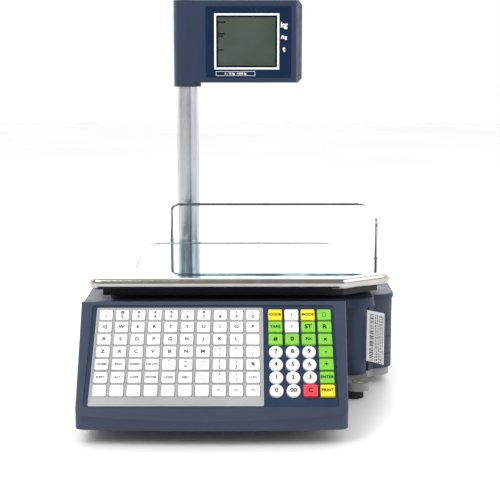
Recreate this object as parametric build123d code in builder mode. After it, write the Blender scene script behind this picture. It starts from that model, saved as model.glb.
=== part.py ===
from build123d import *
import os
from math import asin, atan2, cos, degrees, pi, radians, sin, sqrt, tan

# Counter scale with a label printer and a tower display.
# Millimetres. +X is the operator's right, +Y points away from the operator, +Z is up.
# The pieces are drawn from the point on the counter straight below the centre of the weighing pan,
# and written about the middle of the whole footprint, which is the origin of the model's frame.

os.makedirs("parts", exist_ok=True)

# ---------------------------------------------------------------- driving dimensions
FRONT_REACH, REAR_REACH = 284.7, 203.2   # from below the pan's centre to the console's nose, and to the inlet
FRAME_SHIFT = Location((0, (FRONT_REACH - REAR_REACH) / 2, 0))

WALL = 2.5                   # moulded housings
SHAFT_GAP = 0.05             # radial clearance of a turning shaft

BASE_BOTTOM = 11.0           # underside of the base casting, carried by the feet
BASE_TOP = 21.0              # top of its rim, where the housing stands
BASE_FLOOR = 15.0
BASE_INSET = 3.0

BODY_X = 197.0               # half width of the housing
BODY_FRONT = -150.0
BODY_REAR = 200.0
BODY_CORNER_R = 18.0
LIP = 1.5                    # the top cover overhangs the housing by this much
LIP_BOTTOM = 113.5
COVER_TOP = 120.0
PLATEAU = (330.0, 252.0)     # raised middle of the top cover, under the pan
PLATEAU_TOP = 131.0

BAY_X = 110.0                # left end of the printer bay
NOSE_CENTER = (138.0, -54.7) # rounded front of the printer
NOSE_R = 23.3
NOSE_END = -14.5             # where the nose ends, in degrees
CORNER_CENTER = (171.0, -22.0)
CORNER_R = 26.0
HINGE = (194.2, 125.5)       # door hinge axis
HINGE_R = 2.8
PIN_R = 1.25
DOOR_WALL_Y = HINGE[1] + HINGE_R + 0.5

PAN = (369.0, 293.6)
PAN_TOP = 161.0
PAN_RIM = 14.5               # height of the rolled rim
PAN_SHEET = 1.2
PAN_CUT = (60.7, 38.8)       # clipped front right corner
EMBOSS = (267.0, 225.0)
EMBOSS_Y = 5.0
EMBOSS_DEPTH = 1.2

RAIL_R = 2.0                 # guard rail wire
RAIL_TOP = 213.0
RAIL_POSTS = [(-102.0, 141.0), (176.5, -9.0)]
RAIL_NUT_TOP = 153.0
RAIL_FOOT = RAIL_NUT_TOP - 5
RAIL_BEND = 10.0

SLOPE = 42.6                 # keyboard face above the horizontal
KEY_PITCH_X = 19.0
KEY_PITCH_T = 16.9
KEY_TRAVEL = 1.8
KEY_GAP = 0.25
PRESET_KEY = (15.6, 14.0)
SQUARE_KEY = (16.4, 15.0)
ROUND_KEY_D = 15.7
FIRST_PRESET_X = -157.5
FIRST_PAD_X = 39.5

COLUMN_X, COLUMN_Y = -79.0, 174.0
COLUMN_R = 16.0
COLUMN_TOP = 494.0
HEAD_TOP = 502.5
HEAD_BOTTOM = 386.5
BARREL_BOTTOM = 380.5
BARREL_R = 19.5
HEAD_FRONT, HEAD_BACK = 156.0, 192.0
HEAD_RIGHT = 86.0
WINDOW = (122.0, 100.0)
WINDOW_CENTER = (9.0, 443.5)
LCD_OPENING = (85.0, 71.0)
LCD_CENTER = (6.5, 444.5)

WINDOW_T = 1.6
LCD_T = 5.0

MEDIA_Z = (35.0, 102.0)      # width of the label stock, standing on edge
NIP = (150.2, -47.6)         # where the head presses the label on the roller
ROLL_CENTER = (146.0, 62.0)
ROLL_R = 45.0
CORE_R = 13.0
MODULE = 0.8
PLATEN_TEETH, IDLER_TEETH, PINION_TEETH = 24, 30, 12

face = Plane(
    origin=(0, -181.6, 123.8),
    x_dir=(1, 0, 0),
    z_dir=(0, -sin(radians(SLOPE)), cos(radians(SLOPE))),
)
rear_wall = Plane(origin=(0, BODY_REAR, 0), x_dir=(-1, 0, 0), z_dir=(0, 1, 0))


def finish(piece, name):
    """Names a finished piece and writes its STEP file, in the model's frame."""
    piece.part.label = name
    export_step(piece.part.moved(FRAME_SHIFT), f"parts/{name}.step")


def polar(center, radius, angle):
    """The point at that radius and angle (degrees) round a centre."""
    return (
        center[0] + radius * cos(radians(angle)),
        center[1] + radius * sin(radians(angle)),
    )


def body_edge(grow):
    """Closed plan outline of the housing, moved outward by grow, inside a BuildLine."""
    side = BODY_X + grow
    front = BODY_FRONT - min(grow, 0)
    rear = BODY_REAR + grow
    nose_y = NOSE_CENTER[1] - NOSE_R - grow
    corner_y = CORNER_CENTER[1] - CORNER_R - grow
    ThreePointArc((-side, -96), (-side + 3.2, -124), (-side + 9, front))
    Polyline((-side + 9, front), (BAY_X + grow, front), (BAY_X + grow, nose_y), (NOSE_CENTER[0], nose_y))
    nose = CenterArc(NOSE_CENTER, NOSE_R + grow, -90, 90 + NOSE_END)
    Line(nose @ 1, (CORNER_CENTER[0], corner_y))
    CenterArc(CORNER_CENTER, CORNER_R + grow, -90, 90)
    Polyline((side, CORNER_CENTER[1]), (side, rear), (-side, rear), (-side, -96))


def body_sketch(height, grow, inner=None):
    """Plan face of the housing at a height, or a wall when inner is given."""
    with BuildSketch(Plane.XY.offset(height)) as plan:
        with BuildLine():
            body_edge(grow)
        make_face()
        fillet(plan.vertices().group_by(Axis.Y)[-1], BODY_CORNER_R + grow)
    if inner is None:
        return plan.sketch
    hole = body_sketch(height, inner)
    return plan.sketch - hole


# ---------------------------------------------------------------- base casting and feet
FOOT_R = 12.5
STUD_R = 4.0
STUD_TOP = 16.0
FEET = {
    "front_left_foot": (-150.0, -110.0),
    "front_right_foot": (141.0, -99.0),
    "rear_left_foot": (-160.0, 165.0),
    "rear_right_foot": (165.0, 165.0),
}
EAR = (30.0, 60.0)           # lug beside the printer, over the front right foot
EAR_CENTER = (145.0, -86.0)
LEVEL_CENTER = (145.0, -104.5)
LEVEL_R = 6.5
SCREWS = [
    (-190.2, -60), (-190.2, 110), (-30, 193.2), (120, 193.2), (190.2, 150), (-100, -143.2), (60, -143.2),
]
SCREW_R = 1.9
CELL = (40.0, 150.0, 40.0)   # load cell
CELL_BOTTOM = 55.0
CELL_BOLT_Y = (50.0, 68.0)
SOCKET_R = 21.0
SOCKET_TOP = 60.0

with BuildPart() as base_casting:
    add(extrude(body_sketch(BASE_BOTTOM, -BASE_INSET), BASE_TOP - BASE_BOTTOM))
    add(extrude(body_sketch(BASE_FLOOR, -BASE_INSET - 3), BASE_TOP - BASE_FLOOR), mode=Mode.SUBTRACT)
    with BuildSketch(Plane.XY.offset(BASE_BOTTOM)) as ear:
        with Locations(EAR_CENTER):
            Rectangle(*EAR)
        fillet(ear.vertices().group_by(Axis.Y)[0], 13)
    extrude(amount=BASE_TOP - BASE_BOTTOM)
    # foot bosses, load cell pedestal, column socket and board posts
    with BuildSketch(Plane.XY.offset(BASE_BOTTOM)):
        with Locations(*FEET.values()):
            Circle(11)
    extrude(amount=BASE_TOP - BASE_BOTTOM)
    with BuildSketch(Plane.XY.offset(BASE_BOTTOM)):
        with Locations((0, (CELL_BOLT_Y[0] + CELL_BOLT_Y[1]) / 2)):
            Rectangle(CELL[0] + 4, 36)
    extrude(amount=CELL_BOTTOM - BASE_BOTTOM)
    with BuildSketch(Plane.XY.offset(BASE_BOTTOM)):
        with Locations((COLUMN_X, COLUMN_Y)):
            Circle(SOCKET_R)
    extrude(amount=SOCKET_TOP - BASE_BOTTOM)
    with BuildSketch(Plane.XY.offset(BASE_BOTTOM)):
        with Locations((-170, -25), (-110, -25), (-170, 140), (-118, 140)):
            Circle(4)
        with Locations((-32, 100), (72, 100), (-32, 165), (72, 165)):
            Circle(4)
    extrude(amount=22)
    with BuildSketch(Plane.XY.offset(BASE_BOTTOM)):
        with Locations((104, -40), (180, 0), (104, 95), (180, 95)):
            Circle(5)
    extrude(amount=27 - BASE_BOTTOM)
    # blind holes for the foot studs
    with BuildSketch(Plane.XY.offset(BASE_BOTTOM)):
        with Locations(*FEET.values()):
            Circle(STUD_R + SHAFT_GAP)
    extrude(amount=STUD_TOP + 0.3 - BASE_BOTTOM, mode=Mode.SUBTRACT)
    with BuildSketch(Plane.XY.offset(BASE_FLOOR)):
        with Locations((COLUMN_X, COLUMN_Y)):
            Circle(COLUMN_R + 0.1)
    extrude(amount=SOCKET_TOP, mode=Mode.SUBTRACT)
    with BuildSketch(Plane.XY.offset(BASE_TOP - 4)):
        with Locations(LEVEL_CENTER):
            Circle(LEVEL_R + 0.1)
    extrude(amount=4, mode=Mode.SUBTRACT)
    # counterbored screw holes and load cell bolt holes, all from below
    with BuildSketch(Plane.XY.offset(BASE_BOTTOM)):
        with Locations(*SCREWS):
            Circle(SCREW_R + 0.2)
        with Locations(*[(0, y) for y in CELL_BOLT_Y]):
            Circle(3.2)
    extrude(amount=CELL_BOTTOM, mode=Mode.SUBTRACT)
    with BuildSketch(Plane.XY.offset(BASE_BOTTOM)):
        with Locations(*SCREWS):
            Circle(4)
        with Locations(*[(0, y) for y in CELL_BOLT_Y]):
            Circle(6)
    extrude(amount=2.5, mode=Mode.SUBTRACT)
finish(base_casting, "base_casting")

for name, center in FEET.items():
    with BuildPart() as foot:
        with BuildSketch(Plane.XY):
            with Locations(center):
                Circle(FOOT_R)
        extrude(amount=BASE_BOTTOM - 0.3, taper=2)
        fillet(foot.edges().group_by(Axis.Z)[0], 1)
        with BuildSketch(Plane.XY.offset(BASE_BOTTOM - 0.5)):
            with Locations(center):
                Circle(STUD_R)
        extrude(amount=STUD_TOP - BASE_BOTTOM + 0.5)
    finish(foot, name)

with BuildPart() as spirit_level:
    with BuildSketch(Plane.XY.offset(BASE_TOP - 4)):
        with Locations(LEVEL_CENTER):
            Circle(LEVEL_R)
    extrude(amount=4.6)
    fillet(spirit_level.edges().group_by(Axis.Z)[-1], 0.6)
finish(spirit_level, "spirit_level")

with BuildPart() as housing_screws:
    with BuildSketch(Plane.XY.offset(BASE_BOTTOM + 0.1)):
        with Locations(*SCREWS):
            Circle(3.5)
    extrude(amount=2.4)
    with BuildSketch(Plane.XY.offset(BASE_BOTTOM + 0.1)):
        with Locations(*SCREWS):
            Circle(SCREW_R)
    extrude(amount=21)
finish(housing_screws, "housing_screws")

# ---------------------------------------------------------------- housing shell
INLET_X, INLET_Z = 20.0, 52.0
INLET_CUT = (62.0, 28.0)
PORT_X = (-168.0, -144.0, -122.0)
PORT_CUT = (16.5, 15.3)
PORT_Z = 42.1
VENT_COUNT = 9
KNUCKLES = (50.3, 84.7)      # heights of the housing's own hinge knuckle

with BuildPart() as main_housing:
    add(extrude(body_sketch(BASE_TOP, 0, -WALL), LIP_BOTTOM - BASE_TOP))
    # bosses for the screws, joined to the walls
    with BuildSketch(Plane.XY.offset(BASE_TOP)):
        with Locations(*SCREWS):
            Circle(4.4)
    extrude(amount=25)
    # printer opening
    with BuildSketch(Plane.XY.offset(BASE_TOP)):
        with Locations((BAY_X + 2, -100)):
            Rectangle(120, DOOR_WALL_Y + 100, align=(Align.MIN, Align.MIN))
    extrude(amount=LIP_BOTTOM - BASE_TOP, mode=Mode.SUBTRACT)
    # hinge knuckle and its arm
    with BuildSketch(Plane.XY.offset(KNUCKLES[0])):
        with Locations(HINGE):
            Circle(HINGE_R)
        with Locations((HINGE[0] - HINGE_R, HINGE[1])):
            Rectangle(2 * HINGE_R, HINGE_R + 4, align=(Align.MIN, Align.MIN))
    extrude(amount=KNUCKLES[1] - KNUCKLES[0])
    with BuildSketch(Plane.XY.offset(KNUCKLES[0])):
        with Locations(HINGE):
            Circle(PIN_R)
    extrude(amount=KNUCKLES[1] - KNUCKLES[0], mode=Mode.SUBTRACT)
    # screw holes
    with BuildSketch(Plane.XY.offset(BASE_TOP)):
        with Locations(*SCREWS):
            Circle(SCREW_R)
    extrude(amount=16, mode=Mode.SUBTRACT)
    # rear openings: power inlet, sockets and air slots
    with BuildSketch(rear_wall):
        with Locations((-INLET_X, INLET_Z)):
            RectangleRounded(*INLET_CUT, 2)
        with Locations(*[(-x, PORT_Z) for x in PORT_X]):
            Rectangle(*PORT_CUT)
        with Locations((-20, 92)):
            with GridLocations(9, 0, VENT_COUNT, 1):
                SlotOverall(18, 3, rotation=90)
    extrude(amount=-WALL - 1, mode=Mode.SUBTRACT)
    # cable way to the keyboard
    with BuildSketch(Plane.XZ.offset(-BODY_FRONT + 1)):
        with Locations((-40, 60)):
            RectangleRounded(80, 30, 4)
    extrude(amount=-WALL - 2, mode=Mode.SUBTRACT)
finish(main_housing, "main_housing")

POST = (48.0, 26.0)          # pan carrier's post through the top cover
POST_Y = -60.0
with BuildPart() as top_cover:
    add(extrude(body_sketch(LIP_BOTTOM, LIP), COVER_TOP - LIP_BOTTOM))
    fillet(top_cover.edges().filter_by(Plane.XY).group_by(Axis.Z)[-1], 2)
    with BuildSketch(Plane.XY.offset(COVER_TOP)):
        RectangleRounded(*PLATEAU, 22)
    extrude(amount=PLATEAU_TOP - COVER_TOP, taper=12)
    fillet(top_cover.edges().group_by(Axis.Z)[-1], 2)
    add(
        extrude(body_sketch(LIP_BOTTOM, -WALL), COVER_TOP - WALL - LIP_BOTTOM),
        mode=Mode.SUBTRACT,
    )
    with BuildSketch(Plane.XY.offset(COVER_TOP - WALL)):
        RectangleRounded(PLATEAU[0] - 12, PLATEAU[1] - 12, 20)
    extrude(amount=PLATEAU_TOP - COVER_TOP, mode=Mode.SUBTRACT)
    with BuildSketch(Plane.XY.offset(LIP_BOTTOM)):
        with Locations((0, POST_Y)):
            RectangleRounded(POST[0] + 12, POST[1] + 12, 6)
        with Locations((COLUMN_X, COLUMN_Y)):
            Circle(COLUMN_R + 0.3)
    extrude(amount=PLATEAU_TOP, mode=Mode.SUBTRACT)
finish(top_cover, "top_cover")

# ---------------------------------------------------------------- weighing: cell, carrier, pan, rail
with BuildPart() as load_cell:
    with BuildSketch(Plane.XY.offset(CELL_BOTTOM)):
        Rectangle(CELL[0], CELL[1])
    extrude(amount=CELL[2])
    # twin bores whose thin webs carry the strain gauges
    with BuildSketch(Plane.YZ.offset(-CELL[0] / 2)):
        with Locations((-14, CELL_BOTTOM + CELL[2] / 2), (14, CELL_BOTTOM + CELL[2] / 2)):
            Circle(16)
    extrude(amount=CELL[0], mode=Mode.SUBTRACT)
    with BuildSketch(Plane.XY.offset(CELL_BOTTOM)):
        with Locations(*[(0, y) for y in CELL_BOLT_Y]):
            Circle(3)
    extrude(amount=24, mode=Mode.SUBTRACT)
    with BuildSketch(Plane.XY.offset(CELL_BOTTOM + CELL[2])):
        with Locations((-15, POST_Y), (15, POST_Y)):
            Circle(3)
    extrude(amount=-24, mode=Mode.SUBTRACT)
finish(load_cell, "load_cell")

with BuildPart() as load_cell_bolts:
    with BuildSketch(Plane.XY.offset(BASE_BOTTOM + 0.2)):
        with Locations(*[(0, y) for y in CELL_BOLT_Y]):
            RegularPolygon(5.5, 6)
    extrude(amount=2.3)
    with BuildSketch(Plane.XY.offset(BASE_BOTTOM + 0.2)):
        with Locations(*[(0, y) for y in CELL_BOLT_Y]):
            Circle(3)
    extrude(amount=CELL_BOTTOM + 20 - BASE_BOTTOM)
    with BuildSketch(Plane.XY.offset(CELL_BOTTOM + CELL[2] - 20)):
        with Locations((-15, POST_Y), (15, POST_Y)):
            Circle(3)
    extrude(amount=28)
    with BuildSketch(Plane.XY.offset(CELL_BOTTOM + CELL[2] + 6)):
        with Locations((-15, POST_Y), (15, POST_Y)):
            RegularPolygon(5.5, 6)
    extrude(amount=4)
finish(load_cell_bolts, "load_cell_bolts")

CARRIER = (336.0, 256.0)
CARRIER_BAR = (14.0, 18.0)
CARRIER_TOP = 154.8
PAD_R = 9.0
PADS = [(-154, -114), (-154, 114), (154, 114), (154, -80)]

with BuildPart() as pan_carrier:
    with BuildSketch(Plane.XY.offset(CARRIER_TOP - CARRIER_BAR[1])) as ring:
        Rectangle(*CARRIER)
        chamfer(ring.vertices().sort_by(Axis.X)[-2:].sort_by(Axis.Y)[0], length=44, length2=30)
        offset(amount=-CARRIER_BAR[0], mode=Mode.SUBTRACT)
    extrude(amount=CARRIER_BAR[1])
    # arms from the post to the ring
    with BuildSketch(Plane.XY.offset(CARRIER_TOP - 16)):
        with Locations((0, POST_Y)):
            Rectangle(CARRIER[0] - 4, 22)
        with Locations((0, 0)):
            Rectangle(30, CARRIER[1] - 4)
        with Locations(*PADS):
            Circle(PAD_R + 3)
    extrude(amount=14)
    with BuildSketch(Plane.XY.offset(CARRIER_TOP - 16)):
        with Locations(*PADS):
            Circle(PAD_R + 3)
    extrude(amount=16)
    with BuildSketch(Plane.XY.offset(CELL_BOTTOM + CELL[2])):
        with Locations((0, POST_Y)):
            RectangleRounded(*POST, 4)
    extrude(amount=CARRIER_TOP - 4 - CELL_BOTTOM - CELL[2])
    # wells for the two bolts into the load cell
    with BuildSketch(Plane.XY.offset(CELL_BOTTOM + CELL[2])):
        with Locations((-15, POST_Y), (15, POST_Y)):
            Circle(3.3)
    extrude(amount=70, mode=Mode.SUBTRACT)
    with BuildSketch(Plane.XY.offset(CELL_BOTTOM + CELL[2] + 6)):
        with Locations((-15, POST_Y), (15, POST_Y)):
            Circle(6.5)
    extrude(amount=70, mode=Mode.SUBTRACT)
finish(pan_carrier, "pan_carrier")

with BuildPart() as carrier_pads:
    with BuildSketch(Plane.XY.offset(CARRIER_TOP)):
        with Locations(*PADS):
            Circle(PAD_R)
    extrude(amount=PAN_TOP - PAN_SHEET - CARRIER_TOP)
finish(carrier_pads, "carrier_pads")


def pan_sketch(height, inset):
    """Plan face of the weighing pan with its clipped corner, moved inward by inset."""
    with BuildSketch(Plane.XY.offset(height)) as plan:
        Rectangle(*PAN)
        clipped = plan.vertices().sort_by(Axis.X)[-2:].sort_by(Axis.Y)[0]
        chamfer(clipped, length=PAN_CUT[1], length2=PAN_CUT[0], reference=plan.edges().sort_by(Axis.X)[-1])
        fillet(plan.vertices().group_by(Axis.Y)[-1], 30)
        fillet(plan.vertices().group_by(Axis.X)[0].sort_by(Axis.Y)[0], 16)
        fillet(plan.vertices().group_by(Axis.Y)[0].sort_by(Axis.X)[-1], 22)
        fillet(plan.vertices().group_by(Axis.X)[-1].sort_by(Axis.Y)[0], 22)
        if inset:
            offset(amount=-inset, mode=Mode.REPLACE)
    return plan.sketch


with BuildPart() as weighing_pan:
    add(extrude(pan_sketch(PAN_TOP - PAN_RIM, 0), PAN_RIM))
    fillet(weighing_pan.faces().sort_by(Axis.Z)[-1].edges(), 6.5)
    fillet(weighing_pan.faces().sort_by(Axis.Z)[0].edges(), 6)
    # shallow tray pressed into the sheet, and the hollow below it
    with BuildSketch(Plane.XY.offset(PAN_TOP)):
        with Locations((0, EMBOSS_Y)):
            RectangleRounded(*EMBOSS, 30)
    extrude(amount=-EMBOSS_DEPTH, taper=45, mode=Mode.SUBTRACT)
    add(
        extrude(pan_sketch(PAN_TOP - PAN_RIM, 7), PAN_RIM - PAN_SHEET - EMBOSS_DEPTH),
        mode=Mode.SUBTRACT,
    )
    with BuildSketch(Plane.XY.offset(PAN_TOP - PAN_SHEET - EMBOSS_DEPTH)):
        add(pan_sketch(0, 7))
        with Locations((0, EMBOSS_Y)):
            RectangleRounded(EMBOSS[0] + 2, EMBOSS[1] + 2, 31, mode=Mode.SUBTRACT)
    extrude(amount=EMBOSS_DEPTH, mode=Mode.SUBTRACT)
    # bosses and holes for the rail posts
    with BuildSketch(Plane.XY.offset(RAIL_NUT_TOP)):
        with Locations(*RAIL_POSTS):
            Circle(6)
    extrude(amount=PAN_TOP - RAIL_NUT_TOP - 0.2)
    with BuildSketch(Plane.XY.offset(PAN_TOP - PAN_RIM)):
        with Locations(*RAIL_POSTS):
            Circle(RAIL_R)
    extrude(amount=PAN_RIM, mode=Mode.SUBTRACT)
    with BuildSketch(Plane.XY.offset(PAN_TOP - PAN_RIM)):
        with Locations(*RAIL_POSTS):
            Circle(5)
    extrude(amount=RAIL_NUT_TOP - PAN_TOP + PAN_RIM, mode=Mode.SUBTRACT)
finish(weighing_pan, "weighing_pan")

with BuildPart() as guard_rail:
    with BuildLine():
        FilletPolyline(
            (*RAIL_POSTS[0], RAIL_FOOT),
            (*RAIL_POSTS[0], RAIL_TOP),
            (RAIL_POSTS[1][0], RAIL_POSTS[0][1], RAIL_TOP),
            (*RAIL_POSTS[1], RAIL_TOP),
            (*RAIL_POSTS[1], RAIL_FOOT),
            radius=RAIL_BEND,
        )
    with BuildSketch(Plane.XY.offset(RAIL_FOOT)):
        with Locations(RAIL_POSTS[0]):
            Circle(RAIL_R)
    sweep()
    # collars that sit on the pan
    with BuildSketch(Plane.XY.offset(PAN_TOP)):
        with Locations(*RAIL_POSTS):
            Circle(RAIL_R + 1)
    extrude(amount=1)
finish(guard_rail, "guard_rail")

with BuildPart() as rail_nuts:
    with BuildSketch(Plane.XY.offset(RAIL_NUT_TOP - 3.2)):
        with Locations(*RAIL_POSTS):
            RegularPolygon(4.4, 6)
        with Locations(*RAIL_POSTS):
            Circle(RAIL_R, mode=Mode.SUBTRACT)
    extrude(amount=3.2)
finish(rail_nuts, "rail_nuts")

# ---------------------------------------------------------------- label printer
FRAME_Z = 27.0
FRAME_SHEET = 2.0
FRAME_TOP = 106.0
GEAR_Z = 30.0
GEAR_T = 4.5
ROLLER_Z = (38.0, 102.0)     # rubber part of the platen
MOTOR_Z = FRAME_Z + 9
IDLER_AXLE_R = 2.0
PINION_SHAFT_R = 1.5
PLATEN_R = 8.0
PAPER = 0.2
PLATEN_SHAFT_R = 3.0
TRUNNION_R = 2.0
IDLER_ANGLE = 100.0          # from the platen to the idler
PINION_ANGLE = 150.0         # from the idler to the pinion
SPINDLE_R = CORE_R - 0.1


def nip_point(along, across):
    """Plan point measured from the nip: along the label's way out, and across towards the print head."""
    return (
        NIP[0] + (along - across) / sqrt(2),
        NIP[1] + (-along - across) / sqrt(2),
    )


PLATEN_CENTER = nip_point(0, -PLATEN_R - PAPER / 2 - 0.02)
HEAD_PIVOT = nip_point(-24, 8)
IDLER_CENTER = polar(PLATEN_CENTER, MODULE * (PLATEN_TEETH + IDLER_TEETH) / 2, IDLER_ANGLE)
PINION_CENTER = polar(IDLER_CENTER, MODULE * (IDLER_TEETH + PINION_TEETH) / 2, PINION_ANGLE)
MOTOR_R = 14.0
MOTOR_EARS = [polar(PINION_CENTER, 18, 60), polar(PINION_CENTER, 18, 240)]

with BuildPart() as printer_frame:
    with BuildSketch(Plane.XY.offset(FRAME_Z)):
        with BuildLine():
            Polyline(
                (97, -66), (148, -66), (158, -52), (168, -42), (184, -22), (184, 108), (97, 108),
                close=True,
            )
        make_face()
        with Locations(PLATEN_CENTER):
            Circle(PLATEN_SHAFT_R + SHAFT_GAP, mode=Mode.SUBTRACT)
        with Locations(HEAD_PIVOT):
            Circle(TRUNNION_R + SHAFT_GAP, mode=Mode.SUBTRACT)
    extrude(amount=FRAME_SHEET)
    with BuildSketch(Plane.XY.offset(FRAME_TOP)):
        with BuildLine():
            Polyline((97, -66), (148, -66), (158, -52), (166, -44), (166, -5), (97, -5), close=True)
        make_face()
        with Locations(PLATEN_CENTER):
            Circle(PLATEN_SHAFT_R + SHAFT_GAP, mode=Mode.SUBTRACT)
        with Locations(HEAD_PIVOT):
            Circle(TRUNNION_R + SHAFT_GAP, mode=Mode.SUBTRACT)
    extrude(amount=FRAME_SHEET)
    # side wall, roll spindle, idler axle and motor posts
    with BuildSketch(Plane.XY.offset(FRAME_Z)):
        with Locations((97, -66)):
            Rectangle(FRAME_SHEET, 61, align=(Align.MIN, Align.MIN))
    extrude(amount=FRAME_TOP + FRAME_SHEET - FRAME_Z)
    with BuildSketch(Plane.XY.offset(FRAME_Z)):
        with Locations(ROLL_CENTER):
            Circle(SPINDLE_R)
    extrude(amount=MEDIA_Z[1] - 3 - FRAME_Z)
    with BuildSketch(Plane.XY.offset(FRAME_Z)):
        with Locations(IDLER_CENTER):
            Circle(IDLER_AXLE_R)
    extrude(amount=GEAR_Z + GEAR_T - FRAME_Z)
    with BuildSketch(Plane.XY.offset(FRAME_Z)):
        with Locations(*MOTOR_EARS):
            Circle(3)
    extrude(amount=MOTOR_Z - FRAME_Z)
    with BuildSketch(Plane.XY.offset(FRAME_Z + FRAME_SHEET + 2)):
        with Locations(ROLL_CENTER):
            Circle(SPINDLE_R - 2.5)
    extrude(amount=MEDIA_Z[1], mode=Mode.SUBTRACT)
finish(printer_frame, "printer_frame")


def involute(base_r, roll):
    """Point on the involute of a base circle after rolling through an angle in radians."""
    return (base_r * (cos(roll) + roll * sin(roll)), base_r * (sin(roll) - roll * cos(roll)))


def gear_sketch(teeth, center, tooth_angle, bore):
    """Spur gear in plan with one tooth centred on tooth_angle, in degrees."""
    pitch_r = MODULE * teeth / 2
    base_r = pitch_r * cos(radians(20))
    tip_r = pitch_r + 0.9 * MODULE
    root_r = pitch_r - 1.25 * MODULE
    backlash = 0.16
    half_tooth = (pi * MODULE / 2 - backlash) / 2 / pitch_r
    pitch_roll = tan(radians(20))
    lead = half_tooth + pitch_roll - radians(20)
    tip_roll = sqrt((tip_r / base_r) ** 2 - 1)
    start_roll = sqrt(max((root_r / base_r) ** 2 - 1, 0))
    flank = [involute(base_r, start_roll + (tip_roll - start_roll) * i / 4) for i in range(5)]
    with BuildSketch() as gear:
        with Locations(center):
            Circle(root_r + 0.02)
        for tooth in range(teeth):
            middle = radians(tooth_angle) + 2 * pi * tooth / teeth
            sides = []
            for sign in (1, -1):
                side = []
                for x, y in flank:
                    turn = middle + sign * (lead - atan2(y, x))
                    reach = sqrt(x * x + y * y)
                    side.append((center[0] + reach * cos(turn), center[1] + reach * sin(turn)))
                foot_turn = middle + sign * lead
                foot = (
                    center[0] + (root_r - 0.3) * cos(foot_turn),
                    center[1] + (root_r - 0.3) * sin(foot_turn),
                )
                sides.append([foot] + side)
            with BuildLine():
                Polyline(*sides[0], *reversed(sides[1]), close=True)
            make_face()
        with Locations(center):
            Circle(bore, mode=Mode.SUBTRACT)
    return gear.sketch


idler_tooth = IDLER_ANGLE + 180 + 180 / IDLER_TEETH
idler_pitch = 360 / IDLER_TEETH
idler_offset = (idler_tooth - PINION_ANGLE + idler_pitch / 2) % idler_pitch - idler_pitch / 2
pinion_tooth = PINION_ANGLE + 180 - idler_offset * IDLER_TEETH / PINION_TEETH + 180 / PINION_TEETH

with BuildPart() as platen_gear:
    with BuildSketch(Plane.XY.offset(GEAR_Z)):
        add(gear_sketch(PLATEN_TEETH, PLATEN_CENTER, IDLER_ANGLE, PLATEN_SHAFT_R))
    extrude(amount=GEAR_T)
finish(platen_gear, "platen_gear")

with BuildPart() as idler_gear:
    with BuildSketch(Plane.XY.offset(GEAR_Z)):
        add(gear_sketch(IDLER_TEETH, IDLER_CENTER, idler_tooth, IDLER_AXLE_R + SHAFT_GAP))
    extrude(amount=GEAR_T)
finish(idler_gear, "idler_gear")

with BuildPart() as motor_pinion:
    with BuildSketch(Plane.XY.offset(GEAR_Z)):
        add(gear_sketch(PINION_TEETH, PINION_CENTER, pinion_tooth, PINION_SHAFT_R))
    extrude(amount=GEAR_T)
    with BuildSketch(Plane.XY.offset(GEAR_Z)):
        with Locations(PINION_CENTER):
            Circle(PINION_SHAFT_R + 0.1)
    extrude(amount=14)
finish(motor_pinion, "motor_pinion")

with BuildPart() as feed_motor:
    with BuildSketch(Plane.XY.offset(MOTOR_Z)):
        with Locations(PINION_CENTER):
            Circle(MOTOR_R)
            SlotCenterToCenter(36, 7, rotation=60)
    extrude(amount=1.6)
    with BuildSketch(Plane.XY.offset(MOTOR_Z)):
        with Locations(PINION_CENTER):
            Circle(MOTOR_R)
    extrude(amount=24)
    fillet(feed_motor.edges().group_by(Axis.Z)[-1], 2)
    with BuildSketch(Plane.XY.offset(MOTOR_Z)):
        with Locations(PINION_CENTER):
            Circle(PINION_SHAFT_R + 0.1 + SHAFT_GAP)
    extrude(amount=10, mode=Mode.SUBTRACT)
finish(feed_motor, "feed_motor")

with BuildPart() as platen_roller:
    with BuildSketch(Plane.XY.offset(FRAME_Z + 0.3)):
        with Locations(PLATEN_CENTER):
            Circle(PLATEN_SHAFT_R)
    extrude(amount=FRAME_TOP + FRAME_SHEET - FRAME_Z - 0.6)
    with BuildSketch(Plane.XY.offset(ROLLER_Z[0])):
        with Locations(PLATEN_CENTER):
            Circle(PLATEN_R)
    extrude(amount=ROLLER_Z[1] - ROLLER_Z[0])
finish(platen_roller, "platen_roller")

with BuildPart() as print_head:
    with BuildSketch(Plane.XY.offset(38.5)):
        with BuildLine():
            Polyline(
                nip_point(-28, 8), nip_point(-24, 3.6), nip_point(-18, 0.4), nip_point(5, 0.4),
                nip_point(5, 4), nip_point(-12, 8.5), nip_point(-24, 12.4),
                close=True,
            )
        make_face()
        with Locations(HEAD_PIVOT):
            Circle(4.4)
    extrude(amount=63)
    with BuildSketch(Plane.XY.offset(FRAME_Z + 0.3)):
        with Locations(HEAD_PIVOT):
            Circle(TRUNNION_R)
    extrude(amount=FRAME_TOP + FRAME_SHEET - FRAME_Z - 0.6)
finish(print_head, "print_head")

with BuildPart() as label_roll:
    with BuildSketch(Plane.XY.offset(MEDIA_Z[0])):
        with Locations(ROLL_CENTER):
            Circle(ROLL_R)
            Circle(CORE_R, mode=Mode.SUBTRACT)
    extrude(amount=MEDIA_Z[1] - MEDIA_Z[0])
finish(label_roll, "label_roll")

LABEL_OUT = 43.0             # the label's free end beyond the nip
with BuildPart() as printed_label:
    with BuildSketch(Plane.XY.offset(MEDIA_Z[0])):
        with BuildLine():
            Polyline(
                nip_point(-6, PAPER / 2), nip_point(-6, -PAPER / 2),
                nip_point(LABEL_OUT, -PAPER / 2), nip_point(LABEL_OUT, PAPER / 2),
                close=True,
            )
        make_face()
    extrude(amount=MEDIA_Z[1] - MEDIA_Z[0])
finish(printed_label, "printed_label")

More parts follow.
